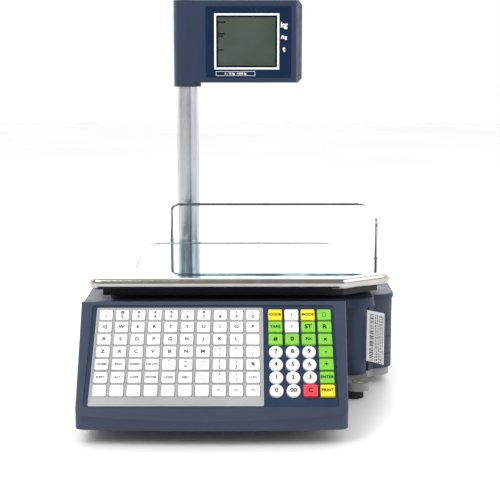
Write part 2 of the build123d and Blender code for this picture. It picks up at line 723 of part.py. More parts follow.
BUTTON_X, BUTTON_Z, BUTTON_R = 125.6, 73.6, 6.5
NOSE_Y = NOSE_CENTER[1] - NOSE_R
nose_front = Plane.XZ.offset(-NOSE_Y)

with BuildPart() as printer_front_cover:
    with BuildSketch(Plane.XY.offset(BASE_TOP)):
        with BuildLine():
            Polyline((BAY_X + 2.3, NOSE_Y + WALL), (BAY_X + 2.3, NOSE_Y), (NOSE_CENTER[0], NOSE_Y))
            outside = CenterArc(NOSE_CENTER, NOSE_R, -90, 90 + NOSE_END)
            inside = CenterArc(NOSE_CENTER, NOSE_R - WALL, NOSE_END, -90 - NOSE_END)
            Line(outside @ 1, inside @ 0)
            Line(inside @ 1, (BAY_X + 2.3, NOSE_Y + WALL))
        make_face()
    extrude(amount=LIP_BOTTOM - BASE_TOP)
    with BuildSketch(nose_front):
        with Locations((BUTTON_X, BUTTON_Z)):
            Circle(BUTTON_R + 0.15)
    extrude(amount=-WALL, mode=Mode.SUBTRACT)
finish(printer_front_cover, "printer_front_cover")

with BuildPart() as release_button:
    with BuildSketch(nose_front.offset(-WALL - 1.6)):
        with Locations((BUTTON_X, BUTTON_Z)):
            Circle(BUTTON_R + 1.8)
    extrude(amount=1.5)
    with BuildSketch(nose_front.offset(-WALL - 1.6)):
        with Locations((BUTTON_X, BUTTON_Z)):
            Circle(BUTTON_R)
    extrude(amount=WALL + 2.2)
    fillet(release_button.edges().group_by(Axis.Y)[0], 0.6)
finish(release_button, "release_button")

DOOR_BOTTOM, DOOR_TOP = BASE_TOP + 0.5, LIP_BOTTOM - 0.4
GROOVE_Z = (40.4, 63.0, 85.6)
SLOT_EDGE = (163.6, -58.6)
with BuildPart() as printer_door:
    with BuildSketch(Plane.XY.offset(DOOR_BOTTOM)):
        with BuildLine():
            Line(SLOT_EDGE, (CORNER_CENTER[0], CORNER_CENTER[1] - CORNER_R))
            corner = CenterArc(CORNER_CENTER, CORNER_R, -90, 90)
            side = Line(corner @ 1, (BODY_X, HINGE[1] - HINGE_R - 0.7))
            Line(side @ 1, (BODY_X - WALL, HINGE[1] - HINGE_R - 0.7))
            Line((BODY_X - WALL, HINGE[1] - HINGE_R - 0.7), (BODY_X - WALL, CORNER_CENTER[1]))
            inner = CenterArc(CORNER_CENTER, CORNER_R - WALL, 0, -96)
            Line(inner @ 1, (SLOT_EDGE[0] - 2.1, SLOT_EDGE[1] + 1.4))
            Line((SLOT_EDGE[0] - 2.1, SLOT_EDGE[1] + 1.4), SLOT_EDGE)
        make_face()
    extrude(amount=DOOR_TOP - DOOR_BOTTOM)
    # hinge knuckles above and below the housing's own
    for low, high in ((DOOR_BOTTOM, KNUCKLES[0] - 0.3), (KNUCKLES[1] + 0.3, DOOR_TOP)):
        with BuildSketch(Plane.XY.offset(low)):
            with Locations(HINGE):
                Circle(HINGE_R)
            with Locations((HINGE[0] - HINGE_R, HINGE[1])):
                Rectangle(2 * HINGE_R, HINGE_R + 2, align=(Align.MIN, Align.MAX))
            with Locations(HINGE):
                Circle(PIN_R + SHAFT_GAP, mode=Mode.SUBTRACT)
        extrude(amount=high - low)
    # grip grooves round the corner
    for groove in GROOVE_Z:
        with BuildSketch(Plane.XY.offset(groove - 1.1)):
            add(body_sketch(0, 1, -0.9))
            with Locations((186, -60)):
                Rectangle(20, 130, align=(Align.MIN, Align.MIN), mode=Mode.INTERSECT)
        extrude(amount=2.2, mode=Mode.SUBTRACT)
finish(printer_door, "printer_door")

with BuildPart() as door_hinge_pin:
    with BuildSketch(Plane.XY.offset(DOOR_BOTTOM + 2)):
        with Locations(HINGE):
            Circle(PIN_R)
    extrude(amount=DOOR_TOP - DOOR_BOTTOM - 4)
finish(door_hinge_pin, "door_hinge_pin")

# ---------------------------------------------------------------- keyboard console
CONSOLE_REAR = -164.0
CONSOLE_FRONT = -278.5
CONSOLE_BULGE = 6.2
CONSOLE_BOTTOM = 18.5
CONSOLE_REAR_X = (-188.5, 123.5)
CONSOLE_FRONT_X = (-182.0, 118.0)
FACE_WALL = 5.0
POCKET = (282.5, 136.3)
POCKET_CENTER = (-33.25, -53.55)
POCKET_DEPTH = 2.4
LEDGE = 2.0
FASCIA_T = 1.6
PRESET_FRAME = (194.5, 131.4)
PRESET_FRAME_CENTER = (-71.75, -54.8)
NECK_X = (-184.0, 106.0)
NECK_TOP = 122.0


def console_block(inset, depth):
    """Solid wedge of the console, its walls moved inward by inset and its face sunk by depth."""
    rear, front = CONSOLE_REAR - inset, CONSOLE_FRONT + inset
    middle = (CONSOLE_FRONT_X[0] + CONSOLE_FRONT_X[1]) / 2
    with BuildPart() as wedge:
        with BuildSketch(Plane.XY.offset(CONSOLE_BOTTOM)) as plan:
            with BuildLine():
                Polyline(
                    (CONSOLE_FRONT_X[1] - inset, front),
                    (CONSOLE_REAR_X[1] - inset, rear),
                    (CONSOLE_REAR_X[0] + inset, rear),
                    (CONSOLE_FRONT_X[0] + inset, front),
                )
                ThreePointArc(
                    (CONSOLE_FRONT_X[0] + inset, front),
                    (middle, front - CONSOLE_BULGE),
                    (CONSOLE_FRONT_X[1] - inset, front),
                )
            make_face()
            corners = plan.vertices().filter_by_position(Axis.Y, front - 0.1, front + 0.1)
            fillet(corners, 10 - inset)
        extrude(amount=150 - CONSOLE_BOTTOM)
        split(bisect_by=face.offset(-depth), keep=Keep.BOTTOM)
    return wedge.part


with BuildPart() as console_housing:
    add(console_block(0, 0))
    rim = console_housing.faces().sort_by(Axis(face.origin, face.z_dir))[-1]
    fillet(rim.edges(), 2.2)
    with Locations(((NECK_X[0] + NECK_X[1]) / 2, CONSOLE_REAR - 1, CONSOLE_BOTTOM)):
        Box(
            NECK_X[1] - NECK_X[0], BODY_FRONT - CONSOLE_REAR + 1, NECK_TOP - CONSOLE_BOTTOM,
            align=(Align.CENTER, Align.MIN, Align.MIN),
        )
    add(console_block(WALL, FACE_WALL), mode=Mode.SUBTRACT)
    with Locations(((NECK_X[0] + NECK_X[1]) / 2, CONSOLE_REAR - 5, CONSOLE_BOTTOM + WALL)):
        Box(
            NECK_X[1] - NECK_X[0] - 2 * WALL, BODY_FRONT - CONSOLE_REAR + 6,
            NECK_TOP - CONSOLE_BOTTOM - 2 * WALL - 1,
            align=(Align.CENTER, Align.MIN, Align.MIN),
            mode=Mode.SUBTRACT,
        )
    # pocket for the keypad fascia and the opening behind it
    with BuildSketch(face):
        with Locations(POCKET_CENTER):
            RectangleRounded(*POCKET, 4)
    extrude(amount=-POCKET_DEPTH, mode=Mode.SUBTRACT)
    with BuildSketch(face):
        with Locations(POCKET_CENTER):
            RectangleRounded(POCKET[0] - 2 * LEDGE, POCKET[1] - 2 * LEDGE, 3)
    extrude(amount=-FACE_WALL - 2, mode=Mode.SUBTRACT)
finish(console_housing, "console_housing")

with BuildPart() as console_base:
    add(console_block(WALL + 0.2, FACE_WALL))
    split(bisect_by=Plane.XY.offset(CONSOLE_BOTTOM + WALL), keep=Keep.BOTTOM)
finish(console_base, "console_base")

PRESET_ROWS, PRESET_COLUMNS = 7, 10
PAD_ROWS, PAD_COLUMNS = 7, 4
preset_points = [
    [(FIRST_PRESET_X + KEY_PITCH_X * column, -KEY_PITCH_T * row) for column in range(PRESET_COLUMNS)]
    for row in range(PRESET_ROWS)
]
pad_points = [
    [(FIRST_PAD_X + KEY_PITCH_X * column, -KEY_PITCH_T * row) for column in range(PAD_COLUMNS)]
    for row in range(PAD_ROWS)
]
ROUND_PLACES = [(row, column) for row in (3, 4, 5) for column in (0, 1, 2)] + [(6, 0), (6, 1)]
PAD_GROUPS = {
    "mode_keys": [(0, 0), (0, 2)],
    "function_keys": [
        (0, 3), (1, 0), (1, 2), (1, 3), (2, 0), (2, 1), (2, 2), (2, 3), (3, 3), (4, 3), (5, 3),
    ],
    "digit_and_arrow_keys": [(0, 1), (1, 1)] + ROUND_PLACES,
    "clear_key": [(6, 2)],
    "print_key": [(6, 3)],
}


def pad_places(places):
    """Centres of the pad keys at those rows and columns, on the keyboard face."""
    return [pad_points[row][column] for row, column in places]


round_points = pad_places(ROUND_PLACES)
all_pad_places = [(row, column) for row in range(PAD_ROWS) for column in range(PAD_COLUMNS)]
square_points = pad_places([place for place in all_pad_places if place not in ROUND_PLACES])
all_preset_points = [point for row in preset_points for point in row]

with BuildPart() as keypad_fascia:
    with BuildSketch(face.offset(-POCKET_DEPTH)):
        with Locations(POCKET_CENTER):
            RectangleRounded(POCKET[0] - 0.3, POCKET[1] - 0.3, 3.8)
        with Locations(*all_preset_points):
            Rectangle(PRESET_KEY[0] + 2 * KEY_GAP, PRESET_KEY[1] + 2 * KEY_GAP, mode=Mode.SUBTRACT)
        with Locations(*square_points):
            Rectangle(SQUARE_KEY[0] + 2 * KEY_GAP, SQUARE_KEY[1] + 2 * KEY_GAP, mode=Mode.SUBTRACT)
        with Locations(*round_points):
            Circle(ROUND_KEY_D / 2 + KEY_GAP, mode=Mode.SUBTRACT)
    extrude(amount=FASCIA_T)
finish(keypad_fascia, "keypad_fascia")

with BuildPart() as preset_frame:
    with BuildSketch(face.offset(FASCIA_T - POCKET_DEPTH)):
        with Locations(PRESET_FRAME_CENTER):
            RectangleRounded(*PRESET_FRAME, 2)
    extrude(amount=1.5)
    fillet(preset_frame.faces().sort_by(Axis(face.origin, face.z_dir))[-1].edges(), 0.6)
    with BuildSketch(face.offset(FASCIA_T - POCKET_DEPTH + 1)):
        with Locations(PRESET_FRAME_CENTER):
            RectangleRounded(PRESET_FRAME[0] - 3, PRESET_FRAME[1] - 3, 1)
    extrude(amount=1, mode=Mode.SUBTRACT)
    with BuildSketch(face.offset(-POCKET_DEPTH)):
        with Locations(*all_preset_points):
            Rectangle(PRESET_KEY[0] + 2 * KEY_GAP, PRESET_KEY[1] + 2 * KEY_GAP)
    extrude(amount=4, mode=Mode.SUBTRACT)
finish(preset_frame, "preset_frame")

FLANGE_TOP = -POCKET_DEPTH - 0.1
FLANGE_T = 1.6
CAP_TOP = 2.4


def key_caps(points, size, flange, is_round=False):
    """Key caps with their retaining flanges, one at each point of the keyboard face."""
    with BuildPart() as caps:
        with BuildSketch(face.offset(FLANGE_TOP - FLANGE_T)):
            with Locations(*points):
                Rectangle(*flange)
        extrude(amount=FLANGE_T)
        with BuildSketch(face.offset(FLANGE_TOP)):
            with Locations(*points):
                if is_round:
                    Circle(size[0] / 2)
                else:
                    RectangleRounded(*size, 1.6)
        extrude(amount=CAP_TOP - FLANGE_TOP, taper=3)
        fillet(caps.edges().group_by(Axis(face.origin, face.z_dir))[-1], 0.9)
    return caps.part


for row, points in enumerate(preset_points, 1):
    with BuildPart() as preset_row:
        add(key_caps(points, PRESET_KEY, (17.4, 15.8)))
    finish(preset_row, f"preset_keys_row_{row}")

for name, places in PAD_GROUPS.items():
    squares = [place for place in places if place not in ROUND_PLACES]
    rounds = [place for place in places if place in ROUND_PLACES]
    with BuildPart() as pad_group:
        if squares:
            add(key_caps(pad_places(squares), SQUARE_KEY, (17.6, 16.2)))
        if rounds:
            add(key_caps(pad_places(rounds), (ROUND_KEY_D,), (17.6, 9), is_round=True))
    finish(pad_group, name)

MAT_TOP = FLANGE_TOP - FLANGE_T - KEY_TRAVEL - 0.2
with BuildPart() as key_mat:
    with BuildSketch(face.offset(MAT_TOP - 2.4)):
        with Locations((POCKET_CENTER[0], -54)):
            RectangleRounded(276, 130, 3)
    extrude(amount=1.2)
    with BuildSketch(face.offset(MAT_TOP - 1.2)):
        with Locations(*all_preset_points, *square_points, *round_points):
            Circle(4)
    extrude(amount=1.2)
finish(key_mat, "key_mat")

with BuildPart() as keyboard_board:
    with BuildSketch(face.offset(MAT_TOP - 4)):
        with Locations((POCKET_CENTER[0], -56)):
            Rectangle(286, 130)
    extrude(amount=1.6)
    # connector and driver chips on the back
    with BuildSketch(face.offset(MAT_TOP - 4)):
        with Locations((-40, -20)):
            Rectangle(30, 8)
        with Locations((-90, -50), (10, -50)):
            Rectangle(14, 14)
    extrude(amount=-5)
finish(keyboard_board, "keyboard_board")

# ---------------------------------------------------------------- column and display head
with BuildPart() as column:
    with BuildSketch(Plane.XY.offset(BASE_FLOOR)):
        with Locations((COLUMN_X, COLUMN_Y)):
            Circle(COLUMN_R)
            Circle(COLUMN_R - 4, mode=Mode.SUBTRACT)
        with Locations((COLUMN_X + 3.6, COLUMN_Y - COLUMN_R - 0.5)):
            Rectangle(2.6, 4, align=(Align.CENTER, Align.MIN), mode=Mode.SUBTRACT)
    extrude(amount=COLUMN_TOP - BASE_FLOOR)
finish(column, "column")

with BuildPart() as column_collar:
    with BuildSketch(Plane.XY.offset(COVER_TOP)):
        with Locations((COLUMN_X, COLUMN_Y)):
            Circle(23)
    extrude(amount=6, taper=12)
    fillet(column_collar.edges().group_by(Axis.Z)[-1], 1.5)
    with BuildSketch(Plane.XY.offset(COVER_TOP)):
        with Locations((COLUMN_X, COLUMN_Y)):
            Circle(COLUMN_R + 0.15)
    extrude(amount=10, mode=Mode.SUBTRACT)
finish(column_collar, "column_collar")

BORE_R = 17.05
with BuildPart() as swivel_bushes:
    for low, high in ((384, 399), (478, COLUMN_TOP)):
        with BuildSketch(Plane.XY.offset(low)):
            with Locations((COLUMN_X, COLUMN_Y)):
                Circle(BORE_R - SHAFT_GAP)
                Circle(COLUMN_R + 0.02, mode=Mode.SUBTRACT)
        extrude(amount=high - low)
    with BuildSketch(Plane.XY.offset(COLUMN_TOP)):
        with Locations((COLUMN_X, COLUMN_Y)):
            Circle(BORE_R - SHAFT_GAP)
    extrude(amount=HEAD_TOP - WALL - COLUMN_TOP - 0.1)
finish(swivel_bushes, "swivel_bushes")

with BuildPart() as head_block:
    with BuildSketch(Plane.XY.offset(HEAD_BOTTOM)) as head_plan:
        with Locations((COLUMN_X, (HEAD_FRONT + HEAD_BACK) / 2)):
            Rectangle(HEAD_RIGHT - COLUMN_X, HEAD_BACK - HEAD_FRONT, align=(Align.MIN, Align.CENTER))
        chamfer(head_plan.vertices().group_by(Axis.X)[-1], length=9, length2=18)
    extrude(amount=HEAD_TOP - HEAD_BOTTOM)
    right = head_block.edges().filter_by(Axis.Y).group_by(Axis.X)[-1]
    chamfer(right, 6)
    fillet(head_block.edges().filter_by(Axis.X), 1.6)
    with BuildSketch(Plane.XY.offset(BARREL_BOTTOM)):
        with Locations((COLUMN_X, COLUMN_Y)):
            Circle(BARREL_R)
    extrude(amount=HEAD_TOP - BARREL_BOTTOM)
    fillet(head_block.edges().group_by(Axis.Z)[0], 1.2)

with BuildPart() as head_core:
    with BuildSketch(Plane.XY.offset(HEAD_BOTTOM + WALL)) as core_plan:
        with Locations((COLUMN_X + BARREL_R + 3, (HEAD_FRONT + HEAD_BACK) / 2)):
            Rectangle(
                HEAD_RIGHT - COLUMN_X - BARREL_R - 3 - WALL, HEAD_BACK - HEAD_FRONT - 2 * WALL,
                align=(Align.MIN, Align.CENTER),
            )
        chamfer(core_plan.vertices().group_by(Axis.X)[-1], length=9, length2=18)
    extrude(amount=HEAD_TOP - HEAD_BOTTOM - 2 * WALL)
    with BuildSketch(Plane.XY.offset(BARREL_BOTTOM)):
        with Locations((COLUMN_X, COLUMN_Y)):
            Circle(BORE_R)
    extrude(amount=HEAD_TOP - WALL - BARREL_BOTTOM)
    # cable way from the barrel to the board
    with Locations((COLUMN_X + BARREL_R, COLUMN_Y, 425)):
        Box(12, 10, 30)
    # window openings on both sides
    with BuildSketch(Plane.XZ.offset(-HEAD_FRONT)):
        with Locations(WINDOW_CENTER):
            RectangleRounded(WINDOW[0] - 8, WINDOW[1] - 8, 2)
    extrude(amount=HEAD_FRONT - HEAD_BACK)
    for outer_face, depth in ((HEAD_FRONT, -WINDOW_T), (HEAD_BACK, WINDOW_T)):
        with BuildSketch(Plane.XZ.offset(-outer_face)):
            with Locations(WINDOW_CENTER):
                RectangleRounded(WINDOW[0] + 0.3, WINDOW[1] + 0.3, 3)
        extrude(amount=depth)

head_split = Plane.XZ.offset(-COLUMN_Y)
for name, side_kept in (("display_front_housing", Keep.TOP), ("display_rear_housing", Keep.BOTTOM)):
    with BuildPart() as head_half:
        add(head_block.part)
        add(head_core.part, mode=Mode.SUBTRACT)
        split(bisect_by=head_split, keep=side_kept)
    finish(head_half, name)

for name, outer_face, depth in (
    ("operator_window", HEAD_FRONT, -WINDOW_T),
    ("customer_window", HEAD_BACK, WINDOW_T),
):
    with BuildPart() as window:
        with BuildSketch(Plane.XZ.offset(-outer_face)):
            with Locations(WINDOW_CENTER):
                RectangleRounded(*WINDOW, 3)
            with Locations(LCD_CENTER):
                Rectangle(*LCD_OPENING, mode=Mode.SUBTRACT)
        extrude(amount=depth)
    finish(window, name)

with BuildPart() as lcd_panels:
    for outer_face, depth in ((HEAD_FRONT + WINDOW_T, -LCD_T), (HEAD_BACK - WINDOW_T, LCD_T)):
        with BuildSketch(Plane.XZ.offset(-outer_face)):
            with Locations(LCD_CENTER):
                Rectangle(LCD_OPENING[0] + 6, LCD_OPENING[1] + 6)
        extrude(amount=depth)
finish(lcd_panels, "lcd_panels")

with BuildPart() as display_board:
    with BuildSketch(Plane.XZ.offset(-COLUMN_Y + 0.8)):
        with Locations((10, 444.5)):
            Rectangle(112, 98)
    extrude(amount=-1.6)
    # connectors that carry the two panels
    with BuildSketch(Plane.XZ.offset(-HEAD_FRONT - WINDOW_T - LCD_T)):
        with Locations((LCD_CENTER[0], 412), (LCD_CENTER[0], 476)):
            Rectangle(60, 5)
    extrude(amount=-(HEAD_BACK - HEAD_FRONT - 2 * (WINDOW_T + LCD_T)))
finish(display_board, "display_board")

# ---------------------------------------------------------------- electronics
BOARD_Z = BASE_BOTTOM + 22
with BuildPart() as main_board:
    with Locations((-140, 75, BOARD_Z)):
        Box(76, 220, 1.6, align=(Align.CENTER, Align.CENTER, Align.MIN))
    with Locations(*[(x, 178, BOARD_Z + 1.6) for x in PORT_X]):
        Box(15.9, 22.4, 14.9, align=(Align.CENTER, Align.MIN, Align.MIN))
    with Locations((-145, 30, BOARD_Z + 1.6), (-145, 80, BOARD_Z + 1.6)):
        Box(26, 26, 3, align=(Align.CENTER, Align.CENTER, Align.MIN))
    with Locations((-120, 120, BOARD_Z + 1.6), (-120, 132, BOARD_Z + 1.6), (-165, 0, BOARD_Z + 1.6)):
        Cylinder(4, 12, align=(Align.CENTER, Align.CENTER, Align.MIN))
finish(main_board, "main_board")

with BuildPart() as power_supply:
    with Locations((20, 132.5, BOARD_Z)):
        Box(112, 73, 1.6, align=(Align.CENTER, Align.CENTER, Align.MIN))
    with Locations((30, 125, BOARD_Z + 1.6)):
        Box(34, 30, 26, align=(Align.CENTER, Align.CENTER, Align.MIN))
    with Locations((62, 130, BOARD_Z + 1.6)):
        Box(3, 60, 30, align=(Align.CENTER, Align.CENTER, Align.MIN))
    with Locations((-10, 115, BOARD_Z + 1.6), (-10, 145, BOARD_Z + 1.6)):
        Cylinder(9, 28, align=(Align.CENTER, Align.CENTER, Align.MIN))
finish(power_supply, "power_supply")

SOCKET_X = INLET_X - 12
ROCKER_X = INLET_X + 20
ROCKER_Y = BODY_REAR - 4.0
with BuildPart() as power_inlet:
    with BuildSketch(rear_wall):
        with Locations((-INLET_X, INLET_Z)):
            RectangleRounded(INLET_CUT[0] + 6, INLET_CUT[1] + 6, 3)
    extrude(amount=2)
    with BuildSketch(rear_wall):
        with Locations((-INLET_X, INLET_Z)):
            RectangleRounded(INLET_CUT[0] - 0.3, INLET_CUT[1] - 0.3, 2)
    extrude(amount=-26)
    # appliance inlet well with its three pins
    with BuildSketch(rear_wall.offset(2)) as well:
        with Locations((-SOCKET_X, INLET_Z)):
            Rectangle(24.4, 17)
        chamfer(well.vertices().group_by(Axis.Z)[-1], 4)
    extrude(amount=-18, mode=Mode.SUBTRACT)
    with BuildSketch(rear_wall.offset(-16)):
        with Locations((-SOCKET_X - 7, INLET_Z - 1), (-SOCKET_X, INLET_Z + 3), (-SOCKET_X + 7, INLET_Z - 1)):
            Rectangle(2, 4)
    extrude(amount=14)
    # well for the rocker and its pivot
    with BuildSketch(rear_wall.offset(2)):
        with Locations((-ROCKER_X, INLET_Z)):
            Rectangle(14.4, 21)
    extrude(amount=-17, mode=Mode.SUBTRACT)
    with BuildSketch(Plane.YZ.offset(ROCKER_X - 8.2)):
        with Locations((ROCKER_Y, INLET_Z)):
            Circle(1.2 + SHAFT_GAP)
    extrude(amount=16.4, mode=Mode.SUBTRACT)
finish(power_inlet, "power_inlet")

with BuildPart() as power_switch:
    with BuildSketch(Plane.YZ.offset(ROCKER_X - 7)):
        with BuildLine():
            tips = []
            for reach, rise in ((6, 9), (4.5, 0), (6, -9), (-3, -5), (-3, 5)):
                length, angle = sqrt(reach**2 + rise**2), degrees(atan2(rise, reach)) + 8
                tips.append(polar((ROCKER_Y, INLET_Z), length, angle))
            Polyline(*tips, close=True)
        make_face()
    extrude(amount=14)
    with BuildSketch(Plane.YZ.offset(ROCKER_X - 8)):
        with Locations((ROCKER_Y, INLET_Z)):
            Circle(1.2)
    extrude(amount=16)
finish(power_switch, "power_switch")
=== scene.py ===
"""Looks of a counter price scale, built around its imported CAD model."""
import math
import random

import bmesh
import bpy
from mathutils import Matrix, Vector


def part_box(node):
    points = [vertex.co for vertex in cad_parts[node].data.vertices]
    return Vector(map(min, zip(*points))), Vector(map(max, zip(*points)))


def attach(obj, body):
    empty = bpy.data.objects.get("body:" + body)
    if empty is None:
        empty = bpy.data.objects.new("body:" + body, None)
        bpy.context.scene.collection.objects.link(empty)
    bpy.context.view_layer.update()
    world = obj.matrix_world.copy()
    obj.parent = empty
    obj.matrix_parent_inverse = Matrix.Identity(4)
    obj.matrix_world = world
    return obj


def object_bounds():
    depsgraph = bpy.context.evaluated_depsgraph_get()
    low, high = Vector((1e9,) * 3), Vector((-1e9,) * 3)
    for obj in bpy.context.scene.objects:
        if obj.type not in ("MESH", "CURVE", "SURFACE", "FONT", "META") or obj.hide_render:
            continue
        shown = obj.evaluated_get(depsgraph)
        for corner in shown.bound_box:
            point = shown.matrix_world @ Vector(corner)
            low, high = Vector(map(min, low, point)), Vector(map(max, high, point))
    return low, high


MM = 0.001
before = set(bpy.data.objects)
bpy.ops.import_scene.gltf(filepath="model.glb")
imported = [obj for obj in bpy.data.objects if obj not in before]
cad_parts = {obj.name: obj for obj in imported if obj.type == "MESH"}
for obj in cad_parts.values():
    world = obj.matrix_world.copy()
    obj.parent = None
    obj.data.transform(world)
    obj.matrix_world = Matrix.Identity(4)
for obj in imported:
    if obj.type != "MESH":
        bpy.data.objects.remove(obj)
cad_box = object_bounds()
random.seed(7)

# ------------------------------------------------------------- driving sizes, in mm unless said
SLOPE = math.radians(42.6)           # keyboard face above the horizontal
FACE_ORIGIN = Vector((0, -140.85, 123.8))
KEY_PITCH_X, KEY_PITCH_T = 19.0, 16.9
FIRST_PRESET_X, FIRST_PAD_X = -157.5, 39.5
CAP_TOP = 2.4
INK = 0.05                           # thickness of printed legends
LABEL_ORIGIN = Vector((150.2, -6.85, 0))
LABEL_PROUD = Vector((-0.082, -0.082, 0))   # lifts the print off the paper
LABEL_OUT = 43.0                     # free end of the label, along its feed
LABEL_SLOT = 18.5                    # where it leaves the printer
LABEL_HIGH, LABEL_LOW = 98.0, 35.0   # heights between which it is printed
LCD_X, LCD_Z = 6.5, 444.5            # middle of the liquid crystal panels
PORTS_X, PORTS_Z = (-168, -144, -122), 42.0
BOARD_THICK = 1.7

FACE_ALONG = Vector((1, 0, 0))
FACE_UP = Vector((0, math.cos(SLOPE), math.sin(SLOPE)))
LABEL_ALONG = Vector((1, -1, 0)).normalized()


def plane_matrix(origin, right, up):
    """Matrix of a drawing plane in metres, from its origin in mm and two directions."""
    right, up = right.normalized(), up.normalized()
    out = right.cross(up)
    matrix = Matrix((right, up, out)).transposed().to_4x4()
    matrix.translation = origin * MM
    return matrix


# ------------------------------------------------------------- materials
def map_range(ramp, start, end, low, high):
    """Sets a map range node to take start..end to low..high."""
    for name, number in (("From Min", start), ("From Max", end), ("To Min", low), ("To Max", high)):
        ramp.inputs[name].default_value = number


class Shader:
    """A principled material with short calls for adding and joining nodes."""

    def __init__(self, name):
        self.material = bpy.data.materials.new(name)
        self.material.use_nodes = True
        self.tree = self.material.node_tree
        self.bsdf = self.tree.nodes["Principled BSDF"]
        self.place = self.add("ShaderNodeTexCoord").outputs["Object"]

    def add(self, kind, **values):
        node = self.tree.nodes.new(kind)
        for key, value in values.items():
            if key in node.inputs:
                node.inputs[key].default_value = value
            else:
                setattr(node, key, value)
        return node

    def join(self, output, target):
        self.tree.links.new(output, target)

    def set(self, **values):
        for key, value in values.items():
            self.bsdf.inputs[key.replace("_", " ")].default_value = value

    def noise(self, scale, detail=3.0, stretch=(1, 1, 1)):
        mapping = self.add("ShaderNodeMapping", Scale=stretch)
        self.join(self.place, mapping.inputs["Vector"])
        noise = self.add("ShaderNodeTexNoise", Scale=scale, Detail=detail)
        self.join(mapping.outputs["Vector"], noise.inputs["Vector"])
        return noise.outputs["Fac"]

    def spread(self, value, low, high, start=0.35, end=0.65):
        """Rescales a 0 to 1 value into low to high."""
        ramp = self.add("ShaderNodeMapRange")
        map_range(ramp, start, end, low, high)
        self.join(value, ramp.inputs["Value"])
        return ramp.outputs["Result"]

    def blend(self, factor, first, second):
        """Mixes two colours, each a colour or a socket, by a socket."""
        mix = self.add("ShaderNodeMix", data_type="RGBA")
        self.join(factor, mix.inputs["Factor"])
        for index, value in ((6, first), (7, second)):
            if isinstance(value, (tuple, list)):
                mix.inputs[index].default_value = (*value[:3], 1)
            else:
                self.join(value, mix.inputs[index])
        return mix.outputs[2]

    def relief(self, height, strength, distance, soften=0.0004):
        """Bump over softened edges."""
        bump = self.add("ShaderNodeBump", Strength=strength, Distance=distance)
        self.join(height, bump.inputs["Height"])
        if soften:
            bevel = self.add("ShaderNodeBevel", samples=4, Radius=soften)
            self.join(bevel.outputs["Normal"], bump.inputs["Normal"])
        self.join(bump.outputs["Normal"], self.bsdf.inputs["Normal"])

    def edges(self):
        """Nearly 1 on sharp outer edges, 0 elsewhere; plastic() paints a highlight there."""
        sharpness = self.add("ShaderNodeNewGeometry").outputs["Pointiness"]
        return self.spread(sharpness, 0, 1, 0.52, 0.60)

    def mottle(self, scale, detail, first, second):
        """Base colour that drifts between two colours."""
        drift = self.spread(self.noise(scale, detail), 0, 1)
        self.join(self.blend(drift, first, second), self.bsdf.inputs["Base Color"])


def shade(color, factor):
    """The colour made lighter or darker."""
    return tuple(min(1.0, channel * factor) for channel in color)


def plastic(name, color, rough=0.45, grain=1500, depth=0.25, coat=0.0, soften=0.0004, shine=0.28):
    """Moulded plastic: fine grain, slow colour drift, uneven sheen and a painted highlight on its sharp
    edges.
    """
    s = Shader(name)
    drift = s.spread(s.noise(14, 4), 0, 1)
    tone = s.blend(drift, shade(color, 0.94), shade(color, 1.06))
    speck = s.spread(s.noise(grain * 0.8, 2), 0, 0.35, 0.45, 0.75)
    tone = s.blend(speck, tone, shade(color, 1.16))
    # painted highlight: sharp outer edges are made paler in colour, standing in for light catching them
    edge_highlight = s.add("ShaderNodeMath", operation="MULTIPLY")
    s.join(s.edges(), edge_highlight.inputs[0])
    edge_highlight.inputs[1].default_value = 0.4
    s.join(s.blend(edge_highlight.outputs[0], tone, shade(color, 1.5)), s.bsdf.inputs["Base Color"])
    s.join(s.spread(s.noise(60, 5), rough - 0.06, rough + 0.08), s.bsdf.inputs["Roughness"])
    s.set(Specular_IOR_Level=shine, Coat_Weight=coat, Coat_Roughness=0.12)
    s.relief(s.noise(grain, 2), depth, 0.00008, soften)
    return s.material


def metal(name, color, rough=0.25, stretch=(1, 1, 1), grain=900, depth=0.15, soften=0.0004):
    """Metal with a directional or even grain, faint smudges and varied sheen."""
    s = Shader(name)
    s.mottle(18, 5, shade(color, 0.93), color)
    s.join(s.spread(s.noise(grain, 4, stretch), rough * 0.75, rough * 1.3), s.bsdf.inputs["Roughness"])
    s.set(Metallic=1.0)
    s.relief(s.noise(grain, 3, stretch), depth, 0.00005, soften)
    return s.material


def pan_steel():
    """Stainless sheet whose flat top still wears its pale blue protective film."""
    s = Shader("film_covered_stainless")
    up = s.add("ShaderNodeSeparateXYZ")
    s.join(s.add("ShaderNodeNewGeometry").outputs["Normal"], up.inputs["Vector"])
    flat = s.spread(up.outputs["Z"], 0, 1, 0.90, 0.985)
    smudge = s.spread(s.noise(9, 4), 0, 1)
    film = s.blend(smudge, (0.24, 0.43, 0.53), (0.30, 0.49, 0.58))
    steel = s.blend(s.spread(s.noise(40, 3), 0, 1), (0.44, 0.42, 0.40), (0.50, 0.48, 0.46))
    s.join(s.blend(flat, steel, film), s.bsdf.inputs["Base Color"])
    sheen = s.add("ShaderNodeMix", data_type="FLOAT")
    s.join(flat, sheen.inputs[0])
    s.join(s.spread(s.noise(60, 3), 0.16, 0.24), sheen.inputs[2])
    s.join(s.spread(s.noise(30, 4), 0.03, 0.07), sheen.inputs[3])
    s.join(sheen.outputs[0], s.bsdf.inputs["Roughness"])
    s.set(Metallic=1.0)
    s.relief(s.noise(5, 2, (1, 2.4, 1)), 0.05, 0.0008, 0.0006)
    return s.material


